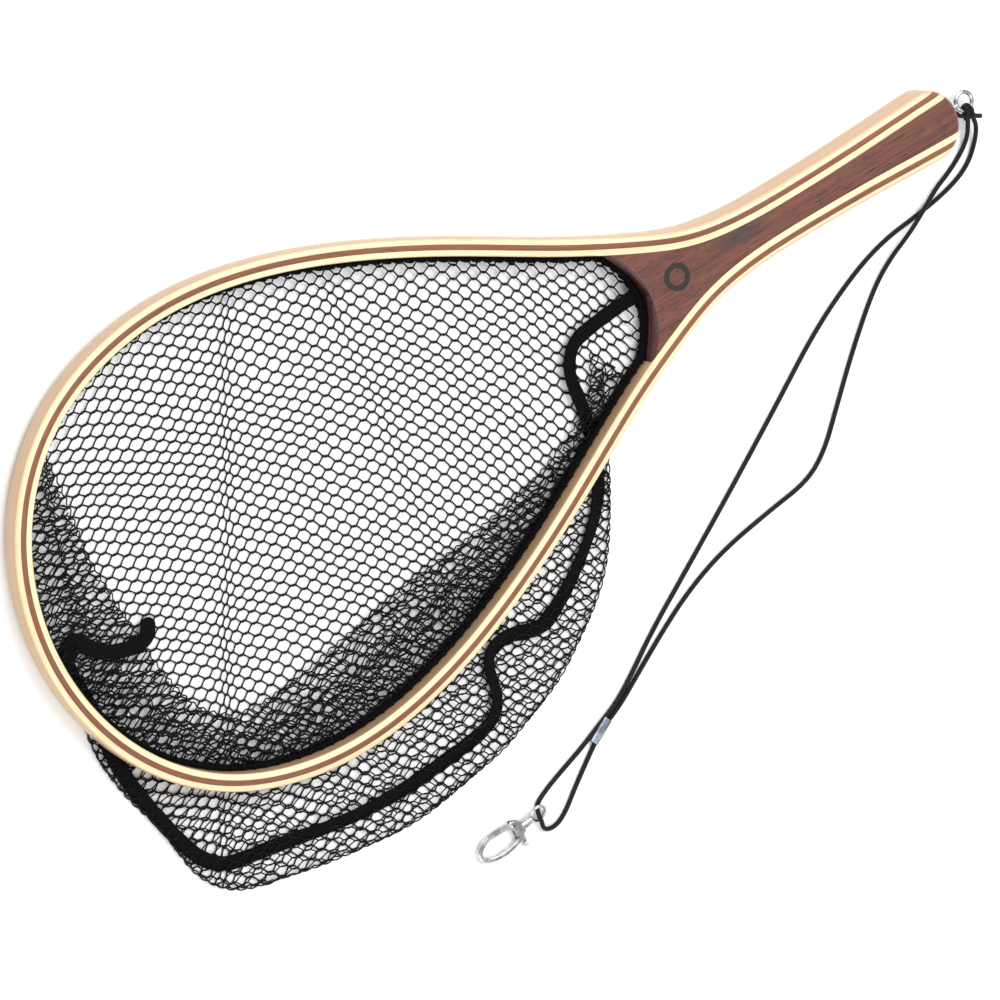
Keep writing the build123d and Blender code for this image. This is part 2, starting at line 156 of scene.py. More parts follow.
# ---------------------------------------------------------------- meshes
def add_mesh(name: str, verts: Array, quads: Array, **attributes: Array) -> bpy.types.Object:
    """Put a quad surface into a new object at the origin.

    Args:
        name: Object and mesh name.
        verts: Vertices in millimetres, N by 3.
        quads: Vertex numbers, M by 4.
        attributes: Vector values for each vertex, stored under their own names.

    Returns:
        The new object, linked to the scene.
    """
    mesh = bpy.data.meshes.new(name)
    mesh.vertices.add(len(verts))
    mesh.vertices.foreach_set("co", (verts * MM).astype(np.float32).ravel())
    mesh.loops.add(4 * len(quads))
    mesh.loops.foreach_set("vertex_index", quads.astype(np.int32).ravel())
    mesh.polygons.add(len(quads))
    mesh.polygons.foreach_set("loop_start", np.arange(0, 4 * len(quads), 4, dtype=np.int32))
    mesh.update(calc_edges=True)
    mesh.polygons.foreach_set("use_smooth", np.ones(len(quads), bool))
    for label, values in attributes.items():
        layer = mesh.attributes.new(label, "FLOAT_VECTOR", "POINT")
        layer.data.foreach_set("vector", np.asarray(values, np.float32).ravel())
    mesh.validate()
    made = bpy.data.objects.new(name, mesh)
    bpy.context.scene.collection.objects.link(made)
    return made


def grid_quads(rows: int, columns: int, loop_rows: bool = False, loop_columns: bool = False) -> Array:
    """Quads of a grid whose vertex number is row * columns + column.

    Args:
        rows: Number of rows.
        columns: Number of columns.
        loop_rows: Whether the last row joins the first.
        loop_columns: Whether the last column joins the first.

    Returns:
        Vertex numbers, M by 4.
    """
    row = np.arange(rows if loop_rows else rows - 1)[:, None]
    column = np.arange(columns if loop_columns else columns - 1)[None, :]
    row_after, column_after = (row + 1) % rows, (column + 1) % columns
    corners = [row * columns + column, row_after * columns + column]
    corners += [row_after * columns + column_after, row * columns + column_after]
    return np.stack([np.broadcast_to(c, corners[0].shape).ravel() for c in corners], axis=1)


def closed_plate(x: Array, y: Array, top: Array, bottom: Array) -> tuple[Array, Array]:
    """Closed shell between two height fields over one plan grid, with a wall of quads round its edge.

    Args:
        x: Plan X of the grid, rows by columns.
        y: Plan Y of the grid.
        top: Upper height of the grid.
        bottom: Lower height of the grid.

    Returns:
        Vertices, the top's first and the bottom's after them, and quads that face outwards.
    """
    rows, columns = x.shape
    verts = np.concatenate([np.stack([x, y, z], axis=-1).reshape(-1, 3) for z in (top, bottom)])
    upper = grid_quads(rows, columns)
    number = np.arange(rows * columns).reshape(rows, columns)
    ring = np.concatenate([number[:-1, 0], number[-1, :-1], number[:0:-1, -1], number[0, :0:-1]])
    after = np.roll(ring, -1)
    wall = np.stack([ring, ring + rows * columns, after + rows * columns, after], axis=1)
    across = np.cross(
        np.stack([x[1:, :-1] - x[:-1, :-1], y[1:, :-1] - y[:-1, :-1]], axis=-1),
        np.stack([x[:-1, 1:] - x[:-1, :-1], y[:-1, 1:] - y[:-1, :-1]], axis=-1),
    )
    quads = np.concatenate([upper, upper[:, ::-1] + rows * columns, wall])
    return verts, quads if across.mean() > 0 else quads[:, ::-1]


def sweep(path: Array, section: Array, closed: bool, up: Array | None = None) -> tuple[Array, Array]:
    """Carry a closed section along a path, with its second axis kept near an up direction.

    Args:
        path: Places of the section's centre, N by 3.
        section: Section points, K by 2 or N by K by 2 where it changes along the path.
        closed: Whether the path is a loop. An open path's ends are drawn in to points.
        up: Direction that the section's second axis leans to, Z when it is None.

    Returns:
        Vertices and quads.
    """
    tangent = np.roll(path, -1, axis=0) - np.roll(path, 1, axis=0) if closed else np.gradient(path, axis=0)
    tangent = unit_rows(tangent)
    lean = np.array([0.0, 0.0, 1.0]) if up is None else np.asarray(up, float)
    side = unit_rows(np.cross(tangent, lean))
    rise = np.cross(side, tangent)
    shape = np.broadcast_to(section, (len(path), *section.shape[-2:]))
    verts = path[:, None] + shape[..., :1] * side[:, None] + shape[..., 1:] * rise[:, None]
    if not closed:
        ends = [np.broadcast_to(path[i], verts[0].shape) * 0.9999 + verts[i] * 0.0001 for i in (0, -1)]
        verts = np.concatenate([ends[0][None], verts, ends[1][None]])
    quads = grid_quads(len(verts), section.shape[-2], loop_rows=closed, loop_columns=True)
    return verts.reshape(-1, 3), quads


def round_section(radius: float, sides: int) -> Array:
    """Circle of points, turned so that a swept tube faces outwards."""
    angle = np.linspace(0, 2 * math.pi, sides, endpoint=False)
    return np.stack([radius * np.cos(angle), radius * np.sin(angle)], axis=1)


def oval_section(width: float, height: float, power: float, sides: int) -> Array:
    """Superellipse |x/a|^p + |y/b|^p = 1, a rounded rectangle for powers above 2."""
    angle = np.linspace(0, 2 * math.pi, sides, endpoint=False)
    waves = ((width, np.cos(angle)), (height, np.sin(angle)))
    return np.stack([size / 2 * np.sign(wave) * np.abs(wave) ** (2 / power) for size, wave in waves], axis=1)


def box_tubes(start: Array, end: Array, radius: Array, waist: Array, bow: Array) -> tuple[Array, Array]:
    """Many short closed twines at once: square tubes with three rings.

    Args:
        start: First ends, N by 3.
        end: Second ends, N by 3.
        radius: Radius of each twine at its ends, N.
        waist: Radius of each twine at its middle, N.
        bow: Shift of the middle ring, N by 3.

    Returns:
        Vertices and quads.
    """
    along = unit_rows(end - start)
    side = unit_rows(np.cross(along, [0.0, 0.0, 1.0]))
    rise = np.cross(side, along)
    corner = np.array([[1, 0], [0, 1], [-1, 0], [0, -1]], float)
    rings = []
    for place, size in ((start, radius), ((start + end) / 2 + bow, waist), (end, radius)):
        offset = corner[None, :, :1] * side[:, None] + corner[None, :, 1:] * rise[:, None]
        rings.append(place[:, None] + np.asarray(size)[:, None, None] * offset)
    verts = np.stack(rings, axis=1).reshape(-1, 3)
    one = np.concatenate([grid_quads(3, 4, loop_columns=True), [[3, 2, 1, 0]], [[8, 9, 10, 11]]])
    return verts, (one[None] + 12 * np.arange(len(start))[:, None, None]).reshape(-1, 4)


# ---------------------------------------------------------------- shader maths
class Signal:
    """One socket of a material, with arithmetic that adds Math nodes."""

    def __init__(self, graph: "Graph", socket: bpy.types.NodeSocket) -> None:
        """Wrap a socket of a graph."""
        self.graph, self.socket = graph, socket

    def _math(self, operation: str, first: "Signal | float", second: "Signal | float") -> "Signal":
        """Add one Math node."""
        return self.graph.node("ShaderNodeMath", {"operation": operation}, {0: first, 1: second})

    def __add__(self, other: "Signal | float") -> "Signal":
        """Sum."""
        return self._math("ADD", self, other)

    def __sub__(self, other: "Signal | float") -> "Signal":
        """Difference."""
        return self._math("SUBTRACT", self, other)

    def __rsub__(self, other: float) -> "Signal":
        """Difference from a number."""
        return self._math("SUBTRACT", other, self)

    def __mul__(self, other: "Signal | float") -> "Signal":
        """Product."""
        return self._math("MULTIPLY", self, other)

    __radd__ = __add__
    __rmul__ = __mul__

    def sine(self) -> "Signal":
        """Sine."""
        return self._math("SINE", self, 0.0)

    def size(self) -> "Signal":
        """Value without its sign."""
        return self._math("ABSOLUTE", self, 0.0)

    def root(self) -> "Signal":
        """Square root."""
        return self._math("SQRT", self, 0.0)

    def between(self, low: float, high: float) -> "Signal":
        """Soft ramp from nought at low to one at high."""
        settings = {"interpolation_type": "SMOOTHSTEP"}
        return self.graph.node("ShaderNodeMapRange", settings, {"Value": self, "From Min": low, "From Max": high})


class Graph:
    """A material under construction."""

    def __init__(self, name: str) -> None:
        """Start an empty material."""
        self.material = bpy.data.materials.new(name)
        self.material.use_nodes = True
        self.nodes = self.material.node_tree.nodes
        self.links = self.material.node_tree.links
        self.nodes.clear()

    def node(
        self, kind: str, settings: dict | None = None, inputs: dict | None = None, output: int | str = 0
    ) -> Signal:
        """Add any node.

        Args:
            kind: The node's type.
            settings: Its properties, set first; "stops" gives a ramp's places and colours.
            inputs: Values or signals for its sockets, by number or name.
            output: The output socket to return.

        Returns:
            The chosen output.
        """
        made = self.nodes.new(kind)
        for key, value in (settings or {}).items():
            if key == "stops":
                ramp = made.color_ramp.elements
                while len(ramp) < len(value):
                    ramp.new(0.5)
                for element, (place, colour) in zip(ramp, value):
                    element.position, element.color = place, (*colour, 1.0)
            else:
                setattr(made, key, value)
        for key, value in (inputs or {}).items():
            if isinstance(value, Signal):
                self.links.new(value.socket, made.inputs[key])
            else:
                made.inputs[key].default_value = value
        return Signal(self, made.outputs[output])

    def place(self, attribute: str | None, scale: tuple[float, float, float]) -> Signal:
        """Coordinates of a piece's own attribute, or of the object, multiplied axis by axis."""
        if attribute is None:
            source = self.node("ShaderNodeTexCoord", output="Object")
        else:
            source = self.node("ShaderNodeAttribute", {"attribute_name": attribute}, output="Vector")
        return self.node("ShaderNodeVectorMath", {"operation": "MULTIPLY"}, {0: source, 1: scale})

    def here(self) -> Signal:
        """Object coordinates as they are."""
        return self.place(None, (1.0, 1.0, 1.0))

    def noise(self, where: Signal, scale: float, detail: float = 3.0, rough: float = 0.55) -> Signal:
        """Noise between nought and one."""
        values = {"Vector": where, "Scale": scale, "Detail": detail, "Roughness": rough}
        return self.node("ShaderNodeTexNoise", None, values)

    def mix(self, factor: Signal | float, first: Signal | tuple, second: Signal | tuple) -> Signal:
        """Colour between two colours."""
        first, second = ((*c, 1.0) if isinstance(c, tuple) else c for c in (first, second))
        return self.node("ShaderNodeMix", {"data_type": "RGBA"}, {0: factor, 6: first, 7: second}, 2)

    def split(self, vector: Signal) -> list[Signal]:
        """The three numbers of a vector."""
        made = self.node("ShaderNodeSeparateXYZ", None, {0: vector})
        return [Signal(self, socket) for socket in made.socket.node.outputs]

    def surface(self, colour: Signal | tuple, roughness: Signal | float, **more: object) -> bpy.types.Material:
        """Close the material with a Principled surface.

        Args:
            colour: Base colour.
            roughness: Roughness.
            more: "bump" as a height signal with "bump_depth" in metres, and other socket values by name,
                with spaces written as underscores.

        Returns:
            The finished material.
        """
        inputs = {"Roughness": roughness}
        inputs["Base Color"] = colour if isinstance(colour, Signal) else (*colour, 1.0)
        height, depth = more.pop("bump", None), more.pop("bump_depth", 0.0002)
        if height is not None:
            values = {"Height": height, "Distance": depth, "Strength": 1.0}
            inputs["Normal"] = self.node("ShaderNodeBump", None, values)
        inputs.update({key.replace("_", " "): value for key, value in more.items()})
        shader = self.node("ShaderNodeBsdfPrincipled", None, inputs)
        closing = self.nodes.new("ShaderNodeOutputMaterial")
        self.links.new(shader.socket, closing.inputs["Surface"])
        return self.material


# ---------------------------------------------------------------- finishes
class Finish:
    """Something that makes one material."""

    name: str
    slot: str

    def paint(self, g: Graph) -> bpy.types.Material:
        """Lay the nodes of the material."""
        raise NotImplementedError

    def material(self) -> bpy.types.Material:
        """The finish's material, made the first time that it is asked for."""
        made = bpy.data.materials.get(self.name)
        return self.paint(Graph(self.name)) if made is None else made

    def dress(self, piece: bpy.types.Object) -> bpy.types.Object:
        """Give a piece this finish as its only material."""
        piece.data.materials.clear()
        piece.data.materials.append(self.material())
        return piece


@dataclass(frozen=True)
class WoodFinish(Finish):
    """Oiled and varnished wood whose grain follows the piece's own length."""

    name: str
    slot: str
    pale: tuple[float, float, float]
    dark: tuple[float, float, float]
    pore: tuple[float, float, float]
    pore_share: float = 0.35
    coat: float = 0.5
    rough: float = 0.42
    stain: tuple[float, float, float] | None = None
    # Colour of painted shade laid on sides that turn away from straight up.
    painted_side_shade: tuple[float, float, float] | None = None

    def paint(self, g: Graph) -> bpy.types.Material:
        """Long streaks of two tones, short dark pores, painted shade on the sides where a side shade colour is given,
        and for the core a stained patch and polished end.
        """
        broad = g.noise(g.place("grain", (7.0, 210.0, 150.0)), 1.0, 3.0)
        fibre = g.noise(g.place("grain", (26.0, 1500.0, 1200.0)), 1.0, 4.0, 0.65)
        pores = g.noise(g.place("grain", (95.0, 2600.0, 2200.0)), 1.0, 1.0)
        tone = (broad * 0.6 + fibre * 0.55).between(0.36, 0.80)
        colour = g.mix(tone, self.pale, self.dark)
        pits = pores.between(0.60, 0.72) * self.pore_share
        colour = g.mix(pits, colour, self.pore)
        # Painted shade: where the surface normal turns away from up, the colour is mixed towards the side shade
        # colour, standing in for shade on the rounded flanks.
        if self.painted_side_shade is not None:
            facing = g.split(g.node("ShaderNodeNewGeometry", output="Normal"))[2]
            colour = g.mix((1 - facing.size().between(0.35, 0.97)) * 0.85, colour, self.painted_side_shade)
        if self.stain is not None:
            x, y, _ = g.split(g.node("ShaderNodeTexCoord", output="Object"))
            near = 1 - (((x - 0.050) * (x - 0.050)) * 1500.0 + ((y + 0.005) * (y + 0.005)) * 12000.0)
            streak = g.noise(g.place("grain", (30.0, 420.0, 60.0)), 1.0, 5.0, 0.7)
            colour = g.mix((near + streak * 1.6 - 0.8).between(0.35, 1.0) * 0.75, colour, self.stain)
            ring = ((x - 0.094) * (x - 0.094) + (y + 0.002) * (y + 0.002)).root()
            mark = 1 - (ring - 0.0062).size().between(0.0014, 0.0018)
            colour = g.mix(mark * 0.96, colour, (0.004, 0.003, 0.003))
            rim = g.split(g.node("ShaderNodeAttribute", {"attribute_name": "rim"}, output="Vector"))[0]
            colour = g.mix(rim, colour, (0.045, 0.004, 0.003))
        height = fibre * 0.6 - pits * 1.4
        return g.surface(
            colour, fibre * 0.16 + (self.rough - 0.08), bump=height, bump_depth=0.00010,
            Coat_Weight=self.coat, Coat_Roughness=0.16,
        )


@dataclass(frozen=True)
class TwineFinish(Finish):
    """Black waxed twine of the bag's mesh."""

    name: str = "black twine"
    slot: str = "black_mesh"

    def paint(self, g: Graph) -> bpy.types.Material:
        """Near black with a slight sheen and a fine uneven twist."""
        fuzz = g.noise(g.here(), 2400.0, 2.0)
        wear = g.noise(g.here(), 38.0, 2.0)
        worn = (fuzz * 0.5 + wear * 0.5).between(0.35, 0.75)
        colour = g.mix(worn, (0.0012, 0.0010, 0.0014), (0.0065, 0.0060, 0.0075))
        return g.surface(
            colour, fuzz * 0.2 + 0.38, bump=fuzz, bump_depth=0.00012, Specular_IOR_Level=0.20
        )


@dataclass(frozen=True)
class WebbingFinish(Finish):
    """Black woven tape: ribs across its length and a fine weave."""

    name: str = "black webbing"
    slot: str = "black_webbing"
    ribs_per_m: float = 900.0

    def paint(self, g: Graph) -> bpy.types.Material:
        """Ribs follow the piece's own length."""
        along, across, _ = g.split(g.node("ShaderNodeAttribute", {"attribute_name": "weave"}, output="Vector"))
        rib = (along * (2 * math.pi * self.ribs_per_m)).sine()
        thread = (across * (2 * math.pi * 1400.0)).sine()
        fuzz = g.noise(g.here(), 1500.0, 3.0)
        height = rib * 0.5 + thread * 0.3 + fuzz * 0.7
        colour = g.mix(height.between(-0.3, 1.2), (0.0006, 0.0005, 0.0007), (0.0085, 0.0080, 0.0095))
        return g.surface(colour, 0.78, bump=height, bump_depth=0.00030, Specular_IOR_Level=0.08)


@dataclass(frozen=True)
class CordFinish(Finish):
    """Black braided elastic cord."""

    name: str = "black braid"
    slot: str = "black_cord"

    def paint(self, g: Graph) -> bpy.types.Material:
        """Two sets of strands cross at an angle round the cord."""
        along, around, _ = g.split(g.node("ShaderNodeAttribute", {"attribute_name": "weave"}, output="Vector"))
        turn = around * (2 * math.pi * 8)
        lay = along * (2 * math.pi * 900.0)
        strands = (lay + turn).sine() * (lay - turn).sine()
        fuzz = g.noise(g.here(), 2600.0, 2.0)
        height = strands * 0.6 + fuzz * 0.5
        colour = g.mix(height.between(-0.5, 0.9), (0.002, 0.002, 0.002), (0.018, 0.018, 0.019))
        return g.surface(colour, 0.55, bump=height, bump_depth=0.00016, Specular_IOR_Level=0.20)


@dataclass(frozen=True)
class MetalFinish(Finish):
    """Plated steel or soft aluminium with light handling marks."""

    name: str
    slot: str
    colour: tuple[float, float, float]
    rough: float

    def paint(self, g: Graph) -> bpy.types.Material:
        """Metal with faint scratches and cloudy patches in its polish."""
        cloud = g.noise(g.here(), 170.0, 2.0)
        marks = g.noise(g.place(None, (300.0, 4200.0, 900.0)), 1.0, 2.0)
        rough = cloud * 0.10 + marks.between(0.6, 0.75) * 0.12 + self.rough
        colour = g.mix(cloud.between(0.34, 0.66), tuple(0.50 * c for c in self.colour), self.colour)
        return g.surface(colour, rough, bump=marks, bump_depth=0.00002, Metallic=1.0)


PALE_WOOD = WoodFinish(
    "pale ash", "pale_wood", (0.88, 0.76, 0.50), (0.76, 0.58, 0.33), (0.46, 0.28, 0.13), 0.30, 0.45, 0.40,
    # painted shade on the rounded sides of the pale strips
    painted_side_shade=(0.52, 0.30, 0.16),
)
BROWN_WOOD = WoodFinish(
    "brown walnut", "brown_wood", (0.27, 0.092, 0.036), (0.16, 0.048, 0.019), (0.06, 0.018, 0.009), 0.65, 0.4, 0.42
)
CORE_WOOD = WoodFinish(
    "dark red core", "rosewood_core", (0.190, 0.058, 0.034), (0.068, 0.018, 0.012), (0.014, 0.005, 0.004), 0.95, 0.35,
    0.42, (0.045, 0.030, 0.030),
)
TWINE = TwineFinish()
WEBBING = WebbingFinish()
BRAID = CordFinish()
PLATED = MetalFinish("plated steel", "plated_steel", (0.74, 0.74, 0.76), 0.08)
ALUMINIUM = MetalFinish("soft aluminium", "soft_aluminium", (0.42, 0.48, 0.60), 0.34)


# ---------------------------------------------------------------- frame
class Side(Enum):
    """Which edge of the frame an offset is counted to."""

    INNER = -4.9
    OUTER = 5.1


@dataclass
class FrameLine:
    """Centre line of the middle lamination, with its normals outwards and the mouth's outline."""

    half: Points = (
        (-101.0, 15.3), (-78.0, 14.6), (-34.0, 12.8), (9.0, 12.0), (51.0, 13.3), (79.0, 18.2), (108.0, 29.4),
        (140.0, 44.7), (201.0, 78.0), (251.0, 102.6), (325.0, 127.0), (365.0, 131.1), (414.0, 123.4),
        (446.0, 108.1), (474.0, 81.6), (491.0, 51.7),
    )
    far_x: float = 501.0
    neck_radius: float = 45.0
    neck_x: float = 112.6
    line: Array = field(init=False)
    along: Array = field(init=False)
    normal: Array = field(init=False)

    def __post_init__(self) -> None:
        """Lay the curve through the points and their mirror images."""
        other = tuple((x, -y) for x, y in reversed(self.half))
        self.line = smooth_line((*self.half, (self.far_x, 0.0), *other), 2401)
        self.along = length_along(self.line)
        tangent = unit_rows(np.gradient(self.line, axis=0))
        self.normal = np.stack([-tangent[:, 1], tangent[:, 0]], axis=1)

    def at(self, along: Array, offset: Array) -> Array:
        """Plan place at a length along the line and an offset outwards."""
        place = np.stack([np.interp(along, self.along, c) for c in self.line.T], axis=-1)
        out = np.stack([np.interp(along, self.along, c) for c in self.normal.T], axis=-1)
        return place + out * np.asarray(offset)[..., None]

    @property
    def neck_centre(self) -> float:
        """X of the centre of the core's concave end."""
        return self.neck_x + self.neck_radius

    def mouth(self, inset: float, spacing: float = 2.0) -> Array:
        """Closed outline of the bag's mouth: the inner rail and the core's arc, set in by a distance."""
        rail = self.at(self.along, np.full(len(self.along), Side.INNER.value - inset))
        radius = self.neck_radius - inset
        away = np.linalg.norm(rail - [self.neck_centre, 0.0], axis=1)
        kept = np.flatnonzero((rail[:, 0] > self.neck_centre) | (away < radius))
        rail = rail[kept[0] : kept[-1] + 1]
        first, last = (math.atan2(y, x - self.neck_centre) for x, y in (rail[-1], rail[0]))
        angle = np.linspace(first % (2 * math.pi), last % (2 * math.pi), 60)[1:-1]
        arc = np.stack([self.neck_centre + radius * np.cos(angle), radius * np.sin(angle)], axis=1)
        return even_line(np.concatenate([rail, arc, rail[:1]]), spacing)[:-1]


@dataclass
class WoodenFrame:
    """The three laminations and the core, as shells whose rounding follows the frame's outline."""

    line: FrameLine
    handle_depth: float = 20.0
    hoop_depth: float = 14.0
    swell: tuple[float, float] = (70.0, 150.0)
    handle_round: float = 4.6
    hoop_round: float = 2.5
    mouth_round: float = 1.1
    end_run: float = 46.0
    seam_drop: float = 0.10
    no_edge: float = 9.0
    mouth_from: float = 60.0
    bands: tuple[tuple[str, float, float, WoodFinish], ...] = (
        ("inner_lamination", -4.9, -1.5, PALE_WOOD),
        ("middle_lamination", -1.5, 1.5, BROWN_WOOD),
        ("outer_lamination", 1.5, 5.1, PALE_WOOD),
    )

    def end_circle(self) -> tuple[float, float]:
        """Centre X and radius of the handle's round end."""
        radius = self.line.half[0][1] + Side.OUTER.value
        return self.line.half[0][0] + radius, radius

    def half_height(self, x: Array, edge: Array, mouth: Array) -> Array:
        """Half the wood's depth: handle to hoop on a soft ramp, less a quarter-circle drop at the edges.

        Args:
            x: Plan X.
            edge: Distance in from the frame's outer edge.
            mouth: Distance in from the mouth's edge.

        Returns:
            Half depth at each place.
        """
        blend = smooth_step((x - self.swell[0]) / (self.swell[1] - self.swell[0]))
        depth = (self.handle_depth + (self.hoop_depth - self.handle_depth) * blend) / 2
        outer = self.handle_round + (self.hoop_round - self.handle_round) * blend
        for radius, gap in ((outer, edge), (self.mouth_round, mouth)):
            past = np.clip(radius - gap, 0.0, radius)
            depth = depth - (radius - np.sqrt(np.maximum(radius**2 - past**2, 0.0)))
        return depth

    def end_distance(self, x: Array, y: Array, edge: Array) -> Array:
        """Distance in from the outer edge, measured to the round end where the handle ends."""
        centre, radius = self.end_circle()
        to_end = radius - np.hypot(x - centre, y)
        return np.where(x < centre, np.minimum(edge, np.maximum(to_end, 0.0)), edge)

    def lamination(self, name: str, near: float, far: float, finish: WoodFinish) -> bpy.types.Object:
        """One strip: a grid along the centre line and across the strip, ended on the handle's round end."""
        centre, radius = self.end_circle()
        fine = np.concatenate([np.linspace(0, 1, 7) ** 2 * 4.0, np.linspace(6.0, 40.0, 8)])
        total = self.line.along[-1]
        middle = np.linspace(self.end_run, total - self.end_run, 620)
        along = np.concatenate([fine, middle, total - fine[::-1]])[:, None]
        across = near + (far - near) * np.concatenate([[0, 0.03], np.linspace(0.10, 0.90, 9), [0.97, 1.0]])[None, :]
        half_y = self.line.half[0][1] + across
        start = centre - np.sqrt(np.maximum(radius**2 - half_y**2, 0.0)) - self.line.half[0][0]
        share = np.clip(np.minimum(along, total - along) / self.end_run, 0, 1)
        shift = start * (1 - share) * np.where(along < total / 2, 1.0, -1.0)
        length = along + shift
        offset = np.broadcast_to(across, length.shape)
        place = self.line.at(length, offset)
        x, y = place[..., 0], place[..., 1]
        edge = self.end_distance(x, y, Side.OUTER.value - offset)
        open_side = smooth_step((x - 118.0) / 16.0)
        mouth = np.where(open_side > 0, (offset - Side.INNER.value) + (1 - open_side) * 4, self.no_edge)
        half = self.half_height(x, edge, mouth)
        seam = self.seam_drop * (np.minimum(offset - near, far - offset) < 0.02)
        middle_z = self.handle_depth / 2
        verts, quads = closed_plate(x, y, middle_z + half - seam, middle_z - half + seam)
        grain = np.concatenate(
            [np.stack([length, offset, np.full_like(length, h)], axis=-1).reshape(-1, 3) for h in (9.0, -9.0)]
        )
        piece = add_mesh(name + "_wood", verts, quads, grain=grain * MM)
        return self.settle(finish.dress(piece), name)

    def core(self) -> bpy.types.Object:
        """Core: a grid along the handle and across it, from the round end to the concave neck."""
        centre, radius = self.end_circle()
        rail = self.line.at(self.line.along, np.full(len(self.line.along), Side.INNER.value))
        upper = rail[: len(rail) // 2]
        upper = upper[upper[:, 0] < 200.0]
        across = np.sin(np.linspace(-math.pi / 2, math.pi / 2, 41))[None, :]
        near_y = across * 10.4
        begin = centre - np.sqrt(np.maximum(radius**2 - near_y**2, 0.0))
        tip_gap = np.linalg.norm(upper - [self.line.neck_centre, 0.0], axis=1) - self.line.neck_radius
        tip = upper[np.flatnonzero((upper[:, 0] > self.line.neck_x) & (tip_gap < 0))[0]]
        far_y = across * tip[1]
        finish_x = self.line.neck_centre - np.sqrt(np.maximum(self.line.neck_radius**2 - far_y**2, 0.0))
        share = np.concatenate([np.linspace(0, 1, 8) ** 2 * 0.03, np.linspace(0.045, 0.975, 90)])
        share = np.concatenate([share, 1 - np.linspace(1, 0, 7) ** 2 * 0.018])[:, None]
        x = begin + (finish_x - begin) * share
        y = across * np.interp(x, upper[:, 0], upper[:, 1])
        edge = self.end_distance(x, y, np.full_like(x, self.no_edge))
        mouth = np.maximum(np.hypot(x - self.line.neck_centre, y) - self.line.neck_radius, 0.0)
        half = self.half_height(x, edge, np.where(x > self.mouth_from, mouth, self.no_edge))
        middle_z = self.handle_depth / 2
        verts, quads = closed_plate(x, y, middle_z + half, middle_z - half)
        wall = np.where(x > self.mouth_from, smooth_step((self.mouth_round - mouth) / 0.8), 0.0)
        rim = np.repeat(np.concatenate([wall.ravel()] * 2)[:, None], 3, axis=1)
        grain = verts * [1.0, 1.0, 0.9]
        piece = add_mesh("handle_core_wood", verts, quads, grain=grain * MM, rim=rim)
        return self.settle(CORE_WOOD.dress(piece), "handle_core")

    @staticmethod
    def settle(piece: bpy.types.Object, node: str) -> bpy.types.Object:
        """Let a piece stand for its CAD node on the fixed body."""
        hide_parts(node)
        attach(piece, ROOT)
        log.info("%s: %d faces", piece.name, len(piece.data.polygons))
        return piece

    def build(self) -> None:
        """Make the laminations and the core."""
        for band in self.bands:
            self.lamination(*band)
        self.core()


# ---------------------------------------------------------------- bag
@dataclass(frozen=True)
class Squeeze:
    """A line across the mesh where its cells are pressed together."""

    through: tuple[float, float]
    heading: tuple[float, float]
    width: float
    amount: float


